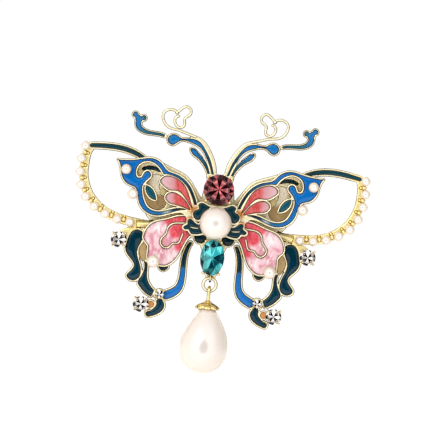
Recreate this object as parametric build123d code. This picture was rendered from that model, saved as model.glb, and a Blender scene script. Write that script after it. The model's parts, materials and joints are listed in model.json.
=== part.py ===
from build123d import *
from math import cos, radians, sin
import os

# Butterfly brooch with a hanging drop, in millimetres.
#
# It is drawn lying on its back: X to the right, Y towards the head, Z out of the front.
# While it is drawn, the origin is on the line of symmetry where the wings meet the body, at
# the back of the base casting. Right-hand shapes are drawn and mirrored.
#
# upright() stands it up when it is written: Z is up, the front faces -Y, and the origin is on
# the pin's axis, in the middle of the brooch, which is where a garment holds it.

# Levels, from the back to the front
BASE_T = 1.4
WING_Z = 3.0
WING_T = 1.4
COLLAR_Z = WING_Z + WING_T
COLLAR_T = 1.0
ANTENNA_Z = BASE_T
ANTENNA_T = 1.1
CLOUD_Z = 0.3

# Enamel cells: gold rims around shallow pockets, filled to just under the rim
RIM = 0.42
COLLAR_RIM = 0.34
ANTENNA_RIM = 0.38
CLOUD_RIM = 0.35
FAIR_STEP = 0.35
POCKET = 0.45
ENAMEL_T = 0.35

# Stones and pearls: (centre x, centre y), radius; a cut is (crown height, depth behind the girdle)
BODY_PEARL = (0.0, 0.2)
BODY_PEARL_R = 3.3
BODY_PEARL_Z = 6.8
BODY_BORE_R = 0.5
BODY_PEG_R = 0.45
HEAD_STONE = (0.0, 7.1)
HEAD_STONE_R = 3.15
HEAD_GIRDLE_Z = 6.4
HEAD_CUT = (1.0, 2.4)
OVAL_STONE = (0.0, -6.9)
OVAL_STONE_RX = 2.5
OVAL_STONE_RY = 3.7
OVAL_GIRDLE_Z = 4.6
OVAL_CUT = (0.9, 1.7)
OVAL_CLAWS = (55, 125, 235, 305)
OUTER_CRYSTAL = (19.5, -5.0)
OUTER_CRYSTAL_R = 1.65
LOWER_CRYSTAL = (13.7, -17.8)
LOWER_CRYSTAL_R = 1.65
SMALL_CRYSTAL = (10.1, -15.5)
SMALL_CRYSTAL_R = 0.95
CRYSTAL_CROWN = 0.36
CRYSTAL_PAVILION = 0.62
GIRDLE_T = 0.12
CLAW_R = 0.3
CRYSTAL_CLAW_R = 0.2
CORNER_CLAWS = (45, 135, 225, 315)
CLAW_LENGTH = 1.2
CLAW_SHOULDER = 0.4
GALLERY_TAPER = 0.75
GALLERY_DROP = 0.3
WING_TIP_PEARL = (19.3, 9.5)
WING_TIP_PEARL_R = 1.05
WING_EDGE_PEARL = (17.5, 4.6)
WING_EDGE_PEARL_R = 1.1
HINDWING_PEARL = (12.0, -8.8)
HINDWING_PEARL_R = 1.3
PEARL_SINK = 0.35
PEARL_SEAT = 0.8            # a pearl's seat, as a share of its radius
STRAND_PEARL_R = 0.97
STRAND_COUNT = 9
SADDLE_R = 0.5
GRANULE_R = 0.3
STEM_R = 0.75
STEM_LENGTH = 3.4

# Each outer loop leans a little clockwise on its root
LOOP_ROOT = (15.0, -1.0)
LOOP_LEAN = 3.5

HEART_WIRE_R = 0.28

# Posts that hold the wings off the base
POST_R = 0.8
POSTS = ((8.0, 1.2), (11.2, 5.6), (16.6, 9.0), (9.2, -3.4), (12.6, -4.6))

# Drop: a fixed eye, a round jump ring that faces the front, and the drop's own long eye
SWING_Z = 2.2
EYE_Y = -11.1
EYE_R = 0.7
EYE_WIRE_R = 0.22
RING_R = 1.35
RING_WIRE_R = 0.3
RING_Y = EYE_Y - RING_R
LOOP_R = 0.8
LOOP_WIRE_R = 0.35
LOOP_TOP_Y = RING_Y - RING_R - 0.05
LOOP_LENGTH = 1.3
CAP_TOP_Y = -15.8
CAP_R = 2.5
CAP_PETALS = 8
DROP_TOP_Y = -16.9
DROP_END_Y = -30.8
DROP_R = 5.0
DROP_PEG_R = 0.6
DROP_PEG_LENGTH = 3.0
PEG_GAP = 0.05

# Pin: hinge on the right of the back, catch on the left
PIN_Y = 5.0
PIN_Z = -3.0
PIN_R = 0.4
HINGE_X = 11.5
CATCH_X = -11.5
PIN_OVERHANG = 2.6
PIN_TAPER = 5.0
KNUCKLE_R = 1.0
KNUCKLE_W = 1.4
RIVET_R = 0.4
RIVET_HEAD_R = 0.65
RUNNING_GAP = 0.03
SIDE_GAP = 0.1
CHEEK_T = 0.5
CHEEK_R = 0.75
FOOT_T = 0.5
CATCH_BORE_R = 0.62
CATCH_TUBE_R = 1.25
CATCH_SLOT = 1.05
ROLLER_R = 1.75
ROLLER_W = 1.7
ROLLER_GAP = 84
ROLLER_TAB = 1.5
ROLLER_TAB_ANGLE = 66


# ---------------------------------------------------------------- drawing helpers

def run(points):
    """A smooth run through points, or a straight one between two."""
    return Line(*points) if len(points) == 2 else Spline(*points)


def front_facing(face):
    return face if face.normal_at().Z > 0 else -face


def patch(*runs):
    """A flat closed shape, its border made of runs that meet end to end."""
    ends = [runs[-1][-1], runs[0][0]]
    border = list(runs) if ends[0] == ends[1] else [*runs, ends]
    return front_facing(make_face(Curve() + [run(points) for points in border]).face())


def ribbon(*stations):
    """A round-ended band of changing width; each station is x, y, half width."""
    line = Spline(*[(x, y) for x, y, _ in stations])
    left, right = [], []
    for x, y, half in stations:
        along = line.tangent_at((x, y))
        across = Vector(-along.Y, along.X) * half
        left.append(Vector(x, y) + across)
        right.append(Vector(x, y) - across)
    first, last = stations[0], stations[-1]
    nose = Vector(*last[:2]) + line.tangent_at(1) * last[2]
    tail = Vector(*first[:2]) - line.tangent_at(0) * first[2]
    border = [
        run(left),
        ThreePointArc(left[-1], nose, right[-1]),
        run(right[::-1]),
        ThreePointArc(right[0], tail, left[0]),
    ]
    return front_facing(make_face(Curve() + border).face())


def leaned(shape, side):
    """A part of an outer loop turned on the loop's root; side is 1 for the right, -1 for the left."""
    to_root = Pos(*LOOP_ROOT)
    return to_root * Rot(0, 0, -side * LOOP_LEAN) * to_root.inverse() * shape


def disc(centre, radius):
    return Pos(*centre) * Circle(radius).face()


def faired(wire):
    """One smooth closed curve through evenly spaced points of a wire made of many pieces."""
    count = max(16, round(wire.length / FAIR_STEP))
    spots = [wire.position_at(i * wire.length / count, PositionMode.LENGTH) for i in range(count)]
    return Wire(Spline(*spots, periodic=True))


def rimmed(*faces, rim=RIM):
    """Shapes grown by the width of the gold rim around them."""
    grown = [offset(face, amount=rim, kind=Kind.ARC).face() for face in faces]
    return [front_facing(Face(faired(face.outer_wire()))) for face in grown]


def merged(faces):
    return Sketch() + faces


def both(shape):
    """A right-hand shape with its mirror image."""
    return shape + mirror(shape, about=Plane.YZ)


def plate(face, bottom, thickness):
    return Pos(0, 0, bottom) * extrude(face, thickness)


def casting(outline, bottom, thickness, cells):
    """A flat casting with a pocket for each enamel cell."""
    floor = bottom + thickness - POCKET
    body = plate(outline, bottom, thickness)
    for cell in cells:
        body -= plate(cell, floor, 2 * POCKET)
    return body


def enamel(cells, top):
    """The enamel that fills the cells of a casting whose front is at top."""
    fill = Part() + [plate(cell, top - POCKET, ENAMEL_T) for cell in cells]
    return both(fill)


def pillar(centre, radius, bottom, top):
    return Pos(*centre, bottom) * extrude(Circle(radius).face(), top - bottom)


# ---------------------------------------------------------------- upper wings

def forewing_band():
    """The blue band: up the front edge, round the wing tip and back along the trailing edge."""
    leading = [(4.25, 3.7), (4.8, 5.1), (6.6, 7.9), (9.4, 9.45), (10.8, 9.85), (12.2, 11.25),
               (14.4, 12.15), (16.4, 11.8), (18.6, 11.35), (21.1, 11.25)]
    trailing = [(21.1, 11.25), (20.3, 9.4), (20.0, 8.1), (18.7, 6.6), (17.0, 5.9), (16.4, 4.5),
                (15.8, 2.6), (14.2, 1.1), (12.4, 0.7), (10.0, 1.3), (6.4, 2.4)]
    inner = [(6.4, 2.4), (8.0, 2.5), (10.0, 1.9), (12.4, 1.4), (14.2, 2.0), (15.3, 3.7), (15.8, 6.2),
             (14.9, 7.8), (14.25, 8.8), (14.8, 9.45), (15.5, 9.1), (16.0, 8.1), (16.8, 7.95),
             (17.4, 9.3), (16.6, 11.0), (14.8, 11.65), (13.0, 10.95), (11.6, 9.3)]
    back = [(11.6, 9.3), (9.9, 9.2), (7.2, 7.85), (5.2, 4.9), (4.65, 3.55)]
    return patch(leading, trailing, inner, back)


def forewing_petals():
    upper = [(5.1, 2.9), (6.0, 5.3), (7.4, 7.6), (9.6, 8.8), (11.3, 8.75), (12.1, 7.8),
             (11.4, 6.9), (10.0, 6.15), (8.3, 6.1), (6.8, 4.9), (5.3, 3.0)]
    lower = [(5.5, 2.55), (6.9, 4.45), (8.3, 5.4), (9.8, 5.6), (10.7, 4.7), (10.2, 3.7),
             (8.6, 3.25), (7.0, 2.9), (5.6, 2.4)]
    return [patch(upper), patch(lower)]


def forewing_leaf():
    return patch([(12.7, 3.8), (13.0, 4.9), (13.8, 6.0), (14.9, 6.5)],
                 [(14.9, 6.5), (14.8, 5.4), (14.0, 4.3), (12.7, 3.8)])


def hindwing_field():
    """The pink hindwing with a raised swirl that parts its middle from its edge."""
    edge = [(6.3, 1.0), (7.6, 0.85), (10.4, -0.15), (12.8, -1.0), (14.1, -2.7), (14.3, -4.4),
            (13.3, -5.6), (13.2, -7.0), (12.9, -8.6), (11.4, -9.2), (9.6, -9.35), (7.7, -8.0),
            (6.4, -5.3), (4.9, -2.6)]
    swirl = ribbon((5.9, -0.35, 0.2), (7.4, -0.45, 0.2), (8.9, -0.8, 0.2), (9.7, -1.75, 0.2),
                   (10.0, -3.0, 0.2), (10.8, -4.0, 0.2), (10.8, -5.1, 0.2), (9.9, -5.8, 0.2),
                   (9.0, -5.5, 0.2), (8.3, -4.75, 0.2), (7.3, -4.6, 0.2), (6.8, -3.7, 0.2),
                   (6.5, -2.6, 0.2))
    return patch(edge, [(4.9, -2.6), (6.3, 1.0)]) - swirl


def wing_cells():
    return [forewing_band(), *forewing_petals(), forewing_leaf(), *hindwing_field().faces()]


def wing_outline():
    """All the right-hand cells with their rims, and the root that the body collar covers."""
    root = patch([(3.3, 3.3), (4.4, 4.0)], [(4.4, 4.0), (6.2, 2.9), (8.6, 2.3), (9.0, 1.2)],
                 [(9.0, 1.2), (6.4, 0.7), (6.0, -2.4), (4.4, -2.9), (2.9, -2.3)])
    hindwing = patch([(6.3, 1.0), (7.6, 0.85), (10.4, -0.15), (12.8, -1.0), (14.1, -2.7),
                      (14.3, -4.4), (13.3, -5.6), (13.2, -7.0), (12.9, -8.6), (11.4, -9.2),
                      (9.6, -9.35), (7.7, -8.0), (6.4, -5.3), (4.9, -2.6)])
    leaf_stalk = ribbon((14.6, 6.3, 0.3), (15.2, 6.9, 0.3), (15.6, 7.3, 0.3))
    pads = [disc(WING_EDGE_PEARL, WING_EDGE_PEARL_R * PEARL_SEAT),
            disc(HINDWING_PEARL, HINDWING_PEARL_R)]
    rims = rimmed(forewing_band(), *forewing_petals(), forewing_leaf(), hindwing)
    return merged([root, leaf_stalk, *pads, *rims]) - disc(BODY_PEARL, 2.75)


def wing():
    body = casting(wing_outline(), WING_Z, WING_T, wing_cells())
    seat_z = WING_Z + WING_T - POCKET
    body += pillar(WING_TIP_PEARL, WING_TIP_PEARL_R * PEARL_SEAT, seat_z, WING_Z + WING_T)
    body += pillar(HINDWING_PEARL, HINDWING_PEARL_R * PEARL_SEAT, seat_z, WING_Z + WING_T)
    return body


def wing_enamels():
    top = WING_Z + WING_T
    seats = merged([disc(WING_TIP_PEARL, WING_TIP_PEARL_R * PEARL_SEAT),
                    disc(HINDWING_PEARL, HINDWING_PEARL_R * PEARL_SEAT)])
    pink = [*forewing_petals(), *(hindwing_field() - seats).faces()]
    return {
        "wing_enamel_blue": enamel([forewing_band() - seats], top),
        "wing_enamel_pink": enamel(pink, top),
        "wing_enamel_leaf": enamel([forewing_leaf()], top),
    }


# ---------------------------------------------------------------- base casting

def inner_band():
    return ribbon((4.8, -4.4, 0.25), (5.6, -6.6, 0.35), (5.8, -9.5, 0.45), (5.85, -12.0, 0.52),
                  (6.5, -14.0, 0.7), (7.7, -15.0, 0.8), (8.7, -15.5, 0.8))


def inner_band_split():
    """The band is dark above this height and blue below it."""
    return Pos(6, -6.5) * Rectangle(8, 6).face()


def outer_band():
    return patch([(13.75, -9.1), (13.6, -10.1), (13.8, -11.3), (14.3, -12.4), (14.7, -13.3),
                  (14.1, -14.4), (13.0, -15.4), (11.8, -16.0)],
                 [(11.8, -16.0), (11.3, -14.8)],
                 [(11.3, -14.8), (12.3, -13.8), (13.0, -12.4), (13.15, -11.2), (13.15, -10.1),
                  (13.35, -9.2)])


def tail_scroll():
    return ribbon((9.9, -17.0, 0.6), (9.8, -18.1, 0.75), (10.6, -19.0, 0.65), (11.4, -19.5, 0.5),
                  (12.0, -19.7, 0.5))


def side_scroll():
    """The dark S-shaped scroll outside the hindwing, ending in a round knob."""
    return patch([(15.0, -2.95), (16.6, -2.9), (17.5, -4.3), (17.8, -5.6), (17.9, -6.8),
                  (16.8, -8.5), (15.8, -9.9), (16.5, -11.3), (17.1, -12.3), (16.1, -13.05),
                  (14.8, -12.5), (14.5, -10.7), (15.3, -8.5), (15.6, -6.8), (14.9, -4.9),
                  (15.0, -2.95)])


def loop_bar():
    return ribbon((16.4, 11.8, 0.25), (18.4, 12.7, 0.38), (21.0, 13.3, 0.42), (24.4, 13.35, 0.42),
                  (27.8, 12.95, 0.36))


def under_scroll():
    """The tip of a dark scroll that shows below the hindwing."""
    return ribbon((9.1, -9.75, 0.15), (9.9, -10.15, 0.3), (10.6, -9.8, 0.15))


def window_bar():
    """The dark bar on the base that shows through the window of the forewing."""
    return ribbon((12.6, 9.9, 0.25), (14.2, 10.3, 0.35), (15.9, 9.9, 0.25))


def breast_lobe():
    return patch([(1.7, -2.8), (3.0, -2.5), (4.0, -3.0), (3.5, -3.9), (2.4, -4.0), (1.7, -2.8)])


def green_cells():
    upper_band = inner_band() & inner_band_split()
    return [*upper_band.faces(), outer_band(), tail_scroll(), side_scroll(), under_scroll(),
            window_bar(), breast_lobe()]


def blue_cells():
    return (inner_band() - inner_band_split()).faces()


def tail_disc():
    """The small sanded disc between the tail and the lower crystal."""
    return disc((11.7, -17.7), 0.6)


def beige_cells():
    """Sanded gold panels on the base, under the window of the wing and beside the scroll."""
    window = patch([(11.0, 2.4), (13.6, 2.2), (15.0, 3.8), (15.4, 6.4), (13.6, 9.0), (12.0, 8.6),
                    (12.4, 6.8), (11.2, 5.0), (11.0, 2.4)]) - disc(POSTS[1], POST_R + 0.1)
    beside = patch([(14.2, -5.2), (14.9, -6.0), (14.8, -8.0), (14.0, -8.9), (13.6, -7.0),
                    (14.2, -5.2)])
    return [*window.faces(), beside, tail_disc()]


def strand():
    """The curve that the small pearls follow round the outer loop."""
    return Spline((29.1, 12.7), (29.4, 7.5), (27.8, 2.8), (23.0, -0.5), (17.6, -1.45))


def strand_points():
    line = strand()
    return [line @ (i / (STRAND_COUNT - 1)) for i in range(STRAND_COUNT)]


def strand_rail():
    """The loop's own rail, inside the strand at the side and behind it at the bottom."""
    rail = ribbon((27.9, 12.6, 0.75), (28.4, 11.2, 0.75), (28.5, 9.4, 0.75), (28.45, 7.5, 0.75),
                  (27.9, 5.2, 0.8), (26.9, 3.2, 0.85), (25.0, 1.2, 0.9), (22.8, -0.15, 0.95),
                  (20.2, -0.95, 0.95), (17.5, -1.25, 0.95), (14.8, -1.35, 0.9), (12.0, -1.3, 0.9))
    return [rail, *[disc((spot.X, spot.Y), STRAND_PEARL_R * PEARL_SEAT) for spot in strand_points()]]


def strand_beads():
    """A gold saddle in each gap between the strand's pearls, and a granule inside it."""
    line = strand()
    beads = Part()
    for i in range(STRAND_COUNT - 1):
        where = (i + 0.5) / (STRAND_COUNT - 1)
        along = line % where
        inward = Vector(along.Y, -along.X)
        for reach, radius in ((0.35, SADDLE_R), (1.05, GRANULE_R)):
            spot = (line @ where) + inward * reach
            beads += Pos(spot.X, spot.Y, BASE_T) * Sphere(radius)
    return beads


def loop_stem():
    """The polished round bar that joins the loop to the base beside the hindwing."""
    return Pos(14.4, -1.35, BASE_T) * Rot(0, 0, -8) * Rot(0, 90, 0) * Cylinder(STEM_R, STEM_LENGTH)


def base_outline(side):
    """Half of the base with every rim, drawn for the right, without the cells."""
    spine = patch([(0.0, 9.6), (2.2, 9.6)], [(2.2, 9.6), (3.2, 6.6), (3.4, 4.4)],
                  [(3.4, 4.4), (3.4, -3.2)], [(3.4, -3.2), (2.6, -5.0), (1.9, -7.0), (1.6, -9.4)],
                  [(1.6, -9.4), (0.9, -11.2)], [(0.9, -11.2), (0.0, -11.2)])
    forewing = patch([(2.6, 4.2), (4.9, 7.2), (6.8, 9.4), (9.4, 10.6), (12.0, 11.6), (14.4, 12.3),
                      (17.0, 11.6), (18.4, 9.6), (16.2, 5.6), (15.2, 2.0), (13.0, -0.9)],
                     [(13.0, -0.9), (2.6, -0.6)])
    hindwing = patch([(2.6, 0.0), (13.0, 0.0)], [(13.0, 0.0), (14.9, -2.4), (15.3, -5.0),
                     (15.3, -7.0), (14.4, -9.0), (13.2, -9.4), (9.6, -9.2), (7.4, -7.4),
                     (5.8, -4.0), (3.0, -3.4)])
    pads = [
        patch([(15.0, -1.2), (17.4, -2.2), (19.6, -3.6), (19.0, -5.6), (16.6, -6.0), (15.4, -3.0)]),
        ribbon((10.6, -17.4, 0.5), (12.0, -17.5, 0.6), (13.4, -17.7, 0.8)),
        disc(OUTER_CRYSTAL, OUTER_CRYSTAL_R * 0.8),
        disc(LOWER_CRYSTAL, LOWER_CRYSTAL_R * 0.8),
        disc(SMALL_CRYSTAL, 1.3),
    ]
    cells = [inner_band(), outer_band(), tail_scroll(), tail_disc(), side_scroll(), under_scroll(),
             breast_lobe()]
    loop = [leaned(shape, side) for shape in (*strand_rail(), *rimmed(loop_bar()))]
    return merged([spine, forewing, hindwing, *pads, *rimmed(*cells), *loop])


def base_half(side):
    cells = [*green_cells(), *blue_cells(), *beige_cells(), leaned(loop_bar(), side)]
    body = casting(base_outline(side), 0, BASE_T, cells)
    return body + leaned(strand_beads(), side) + leaned(loop_stem(), side)


def base_frame():
    eye = Pos(0, EYE_Y, SWING_Z) * Rot(0, 90, 0) * Torus(EYE_R, EYE_WIRE_R)
    return base_half(1) + mirror(base_half(-1), about=Plane.YZ) + eye


def loop_bar_enamel():
    right, left = [plate(leaned(loop_bar(), side), BASE_T - POCKET, ENAMEL_T) for side in (1, -1)]
    return Part() + [right, mirror(left, about=Plane.YZ)]


# ---------------------------------------------------------------- collar, posts

def collar_cells():
    """Four dark cells of the body's collar, two on each side of the pearl; the lower has a vein."""
    upper = patch([(1.45, 3.4), (2.4, 3.85), (3.5, 4.0), (3.85, 3.6), (3.65, 2.9), (4.45, 2.4),
                   (4.7, 1.45), (4.35, 0.8), (3.4, 0.6)], [(3.4, 0.6), (1.45, 3.4)])
    lower = patch([(3.0, -0.15), (4.5, 0.15), (5.35, 0.58), (5.75, 0.15), (5.65, -0.4), (6.5, -1.2),
                   (6.25, -1.55), (5.4, -1.6), (5.0, -2.15), (3.75, -2.4), (2.55, -2.1)],
                  [(2.55, -2.1), (3.0, -0.15)])
    vein = ribbon((3.5, -1.15, 0.1), (4.2, -1.17, 0.12), (5.0, -1.05, 0.1))
    hole = disc(BODY_PEARL, BODY_PEARL_R - 0.15)
    return [upper - hole, lower - vein - hole]


def collar():
    bridge = patch([(-0.5, 3.2), (-0.5, 3.85)], [(-0.5, 3.85), (1.8, 3.9)],
                   [(1.8, 3.9), (3.2, 2.4)], [(3.2, 2.4), (-0.5, 3.2)])
    shapes = [front_facing(Face(cell.faces()[0].outer_wire())) for cell in collar_cells()]
    half = merged([bridge, *rimmed(*shapes, rim=COLLAR_RIM)]) - disc(BODY_PEARL, BODY_PEARL_R - 0.18)
    return both(casting(half, COLLAR_Z, COLLAR_T, collar_cells()))


def posts():
    return both(Part() + [pillar(spot, POST_R, BASE_T, WING_Z) for spot in POSTS])


# ---------------------------------------------------------------- stones, pearls, settings

def cut_stone(centre, rx, ry, girdle_z, crown, pavilion, sides=16):
    """A faceted stone: a flat table, a sloping crown, a thin girdle and a deep back."""
    def level(scale, z):
        step = 360 / sides
        rim = [(rx * scale * cos(radians(i * step)), ry * scale * sin(radians(i * step)))
               for i in range(sides)]
        return Pos(*centre, z) * make_face(Polyline(*rim, close=True))

    girdle_top = girdle_z + GIRDLE_T
    top = loft([level(1.0, girdle_top), level(0.58, girdle_top + crown)], ruled=True)
    middle = extrude(level(1.0, girdle_z), GIRDLE_T)
    back = loft([level(0.1, girdle_z - pavilion), level(1.0, girdle_z)], ruled=True)
    return top + middle + back


def cone_cup(centre, foot, mouth, foot_z, mouth_z, wall=0.3):
    """A tapering open cup; foot and mouth are its outer half sizes in x and y."""
    def level(size, z, shrink):
        return Pos(*centre, z) * Ellipse(size[0] - shrink, size[1] - shrink).face()

    outer = loft([level(foot, foot_z, 0), level(mouth, mouth_z, 0)])
    return outer - loft([level(foot, foot_z, wall), level(mouth, mouth_z, wall)])


def claws(centre, rx, ry, angles, radius, bottom, top):
    """Claws just outside a stone, with round tips, each on a shoulder that reaches under the stone."""
    found = Part()
    for angle in angles:
        toward = Vector(cos(radians(angle)), sin(radians(angle)))
        spot = (centre[0] + (rx + radius) * toward.X, centre[1] + (ry + radius) * toward.Y)
        under = (centre[0] + (rx - radius) * toward.X, centre[1] + (ry - radius) * toward.Y)
        found += pillar(spot, radius, bottom, top)
        found += Pos(*spot, top) * Sphere(radius)
        found += pillar(under, radius * 1.4, bottom, bottom + CLAW_SHOULDER)
    return found


def setting(centre, rx, ry, foot_z, girdle_z, angles, claw_r=CLAW_R):
    """A claw setting: a tapering gallery hidden under the stone, a floor and the claws."""
    mouth = (rx - 0.05, ry - 0.05)
    foot = (rx * GALLERY_TAPER, ry * GALLERY_TAPER)
    body = cone_cup(centre, foot, mouth, foot_z, girdle_z - GALLERY_DROP, wall=0.25)
    body += Pos(*centre, foot_z) * extrude(Ellipse(foot[0] - 0.1, foot[1] - 0.1).face(), 0.3)
    claw_foot = max(foot_z, girdle_z - CLAW_LENGTH)
    return body + claws(centre, rx, ry, angles, claw_r, claw_foot, girdle_z + 0.35)


def pearl(centre, radius, middle_z, seat_z):
    """A glued pearl with a small flat where it sits."""
    ball = Pos(*centre, middle_z) * Sphere(radius)
    return ball - Pos(*centre, seat_z - radius) * Box(4 * radius, 4 * radius, 2 * radius)


def seated_pearl(centre, radius, seat_z):
    return pearl(centre, radius, seat_z + radius - PEARL_SINK, seat_z)


def drilled_pearl():
    ball = Pos(*BODY_PEARL, BODY_PEARL_Z) * Sphere(BODY_PEARL_R)
    bore = pillar(BODY_PEARL, BODY_BORE_R, BODY_PEARL_Z - BODY_PEARL_R - 1, BODY_PEARL_Z - 0.4)
    return ball - bore


def pearl_cup():
    """The cup and peg that the body pearl is glued on."""
    dish_top = BODY_PEARL_Z - 2.6
    profile = Polyline((0, BASE_T), (1.4, BASE_T), (1.2, 2.9), (2.4, dish_top - 0.3),
                       (2.4, dish_top), (0, dish_top), close=True)
    body = Pos(*BODY_PEARL, 0) * revolve(Plane.XZ * make_face(profile), Axis.Z)
    body -= Pos(*BODY_PEARL, BODY_PEARL_Z) * Sphere(BODY_PEARL_R)
    return body + pillar(BODY_PEARL, BODY_PEG_R, 3.0, BODY_PEARL_Z - 0.7)


# ---------------------------------------------------------------- antennae, hearts, arms

def antenna_cells():
    long_blade = patch([(1.4, 10.2), (1.65, 10.9), (2.4, 13.0), (3.6, 15.0), (5.0, 16.55),
                        (7.0, 16.95), (9.0, 16.95), (9.8, 17.45), (10.8, 17.4), (11.4, 16.6),
                        (11.1, 15.75), (10.4, 15.5), (9.6, 15.95), (8.8, 16.5), (6.5, 16.3),
                        (4.3, 15.15), (3.0, 13.2), (1.95, 10.9), (1.75, 10.2)],
                       [(1.75, 10.2), (1.4, 10.2)])
    short_blade = patch([(2.3, 10.3), (2.5, 10.9), (3.6, 12.95), (5.0, 14.25), (6.1, 15.05),
                         (6.5, 15.0), (6.4, 14.45), (4.9, 13.2), (3.65, 12.0), (2.75, 10.6),
                         (2.6, 10.2)], [(2.6, 10.2), (2.3, 10.3)])
    return [long_blade, short_blade]


def antenna_slit():
    """The open slit between the two blades."""
    return ribbon((3.25, 12.7, 0.08), (4.1, 14.05, 0.18), (5.2, 15.05, 0.18), (6.0, 15.5, 0.08))


def antenna():
    root = patch([(0.0, 10.1), (0.0, 5.2)], [(0.0, 5.2), (2.0, 5.2)], [(2.0, 5.2), (3.0, 10.4)],
                 [(3.0, 10.4), (1.2, 10.6)], [(1.2, 10.6), (0.0, 10.1)])
    outer_rim = ribbon((1.1, 10.0, 0.35), (1.4, 11.8, 0.4), (2.7, 14.6, 0.45), (4.7, 16.9, 0.45),
                       (6.6, 17.4, 0.35))
    outline = merged([root, outer_rim, *rimmed(*antenna_cells(), rim=ANTENNA_RIM)])
    return casting(outline - antenna_slit(), ANTENNA_Z, ANTENNA_T, antenna_cells())


def heart_path():
    """One wire bent into a twig, a heart's two lobes and an inner curl."""
    return Spline((5.8, 17.5), (7.6, 18.0), (9.6, 18.55), (11.4, 18.9), (12.7, 20.2), (12.8, 21.8),
                  (11.6, 22.6), (10.1, 22.1))


def heart_curl():
    return Spline((10.1, 22.1), (9.3, 22.9), (8.2, 23.5), (7.3, 22.8), (7.5, 21.8), (8.4, 21.0),
                  (8.4, 19.6), (9.2, 19.1), (10.3, 19.9), (10.3, 21.0), (9.7, 21.4))


def wire_heart():
    level = ANTENNA_Z + ANTENNA_T + HEART_WIRE_R
    body = Part()
    for line in (heart_path(), heart_curl()):
        start = Plane(origin=line @ 0, z_dir=line % 0)
        body += sweep(start * Circle(HEART_WIRE_R).face(), path=line)
        body += Pos(*tuple(line @ 1)) * Sphere(HEART_WIRE_R)
    body += Pos(*tuple(heart_path() @ 1)) * Sphere(HEART_WIRE_R * 1.5)
    return Pos(0, 0, level) * body


def cloud_cells():
    strip = ribbon((12.4, 17.15, 0.2), (14.2, 17.4, 0.22), (16.0, 17.55, 0.3), (17.5, 18.3, 0.45),
                   (17.9, 19.4, 0.5))
    head = merged([strip, disc((17.8, 20.0), 0.65), disc((16.85, 20.4), 0.45), disc((18.6, 20.9), 0.48),
                   disc((18.1, 20.45), 0.45)])
    return head


def cloud_arm():
    tab = ribbon((10.6, 16.5, 0.5), (11.6, 16.9, 0.35), (12.6, 17.15, 0.35))
    outline = merged([tab, *rimmed(*cloud_cells().faces(), rim=CLOUD_RIM)])
    return casting(outline, CLOUD_Z, ANTENNA_T, cloud_cells().faces())


# ---------------------------------------------------------------- drop

def drop_body():
    """A pear shape: a round bottom that narrows to a blunt top."""
    shoulder = [(0.4, DROP_TOP_Y), (1.4, -17.3), (2.25, -18.4), (3.3, -20.0), (4.3, -22.0),
                (4.86, -24.0)]
    middle_y = DROP_END_Y + DROP_R
    bowl = [(DROP_R * cos(radians(a)), middle_y - DROP_R * sin(radians(a))) for a in range(0, 86, 17)]
    closing = Polyline(bowl[-1], (0, bowl[-1][1]), (0, DROP_TOP_Y), shoulder[0])
    half = make_face(Spline(*shoulder, *bowl) + closing)
    return Pos(0, 0, SWING_Z) * revolve(half, Axis.Y)


def drop_pearl():
    """The drop, drilled for the cap's peg."""
    depth = DROP_PEG_LENGTH + 0.3
    bore = Pos(0, DROP_TOP_Y + 1, SWING_Z) * Rot(90, 0, 0) * Cylinder(
        DROP_PEG_R + PEG_GAP, depth + 1, align=(Align.CENTER, Align.CENTER, Align.MIN))
    return drop_body() - bore


def drop_loop():
    """The drop's long eye, seen edge-on from the front."""
    sides = Part()
    end_y = LOOP_TOP_Y - LOOP_LENGTH
    upper = Pos(0, LOOP_TOP_Y, SWING_Z) * Rot(0, 90, 0) * Torus(LOOP_R, LOOP_WIRE_R)
    lower = Pos(0, end_y, SWING_Z) * Rot(0, 90, 0) * Torus(LOOP_R, LOOP_WIRE_R)
    sides += upper & Pos(0, LOOP_TOP_Y + 5, SWING_Z) * Box(10, 10, 10)
    sides += lower & Pos(0, end_y - 5, SWING_Z) * Box(10, 10, 10)
    for side in (-LOOP_R, LOOP_R):
        sides += Pos(0, LOOP_TOP_Y, SWING_Z + side) * Rot(90, 0, 0) * Cylinder(
            LOOP_WIRE_R, LOOP_LENGTH, align=(Align.CENTER, Align.CENTER, Align.MIN))
    return sides


def drop_cap():
    """A flared calyx of petals over the top of the drop, with its eye and its glued peg."""
    profile = Polyline((0, CAP_TOP_Y), (0.6, CAP_TOP_Y), (0.85, -16.15), (1.7, -16.55),
                       (CAP_R, -17.1), (CAP_R - 0.05, -17.55), (1.6, -17.4), (0, -17.4), close=True)
    body = Pos(0, 0, SWING_Z) * revolve(make_face(profile), Axis.Y)
    for i in range(CAP_PETALS):
        turn = Rot(0, (i + 0.5) * 360 / CAP_PETALS, 0)
        notch = Rot(90, 0, 0) * Cylinder(0.45, 6)
        body -= Pos(0, -17.0, SWING_Z) * turn * Pos(CAP_R + 0.2, 0, 0) * notch
    body -= drop_body()
    peg = Pos(0, CAP_TOP_Y - 0.5, SWING_Z) * Rot(90, 0, 0) * Cylinder(
        DROP_PEG_R, DROP_PEG_LENGTH + 0.6, align=(Align.CENTER, Align.CENTER, Align.MIN))
    return body + peg + drop_loop()


def jump_ring():
    return Pos(0, RING_Y, SWING_Z) * Torus(RING_R, RING_WIRE_R)


# ---------------------------------------------------------------- pin and catch

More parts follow.
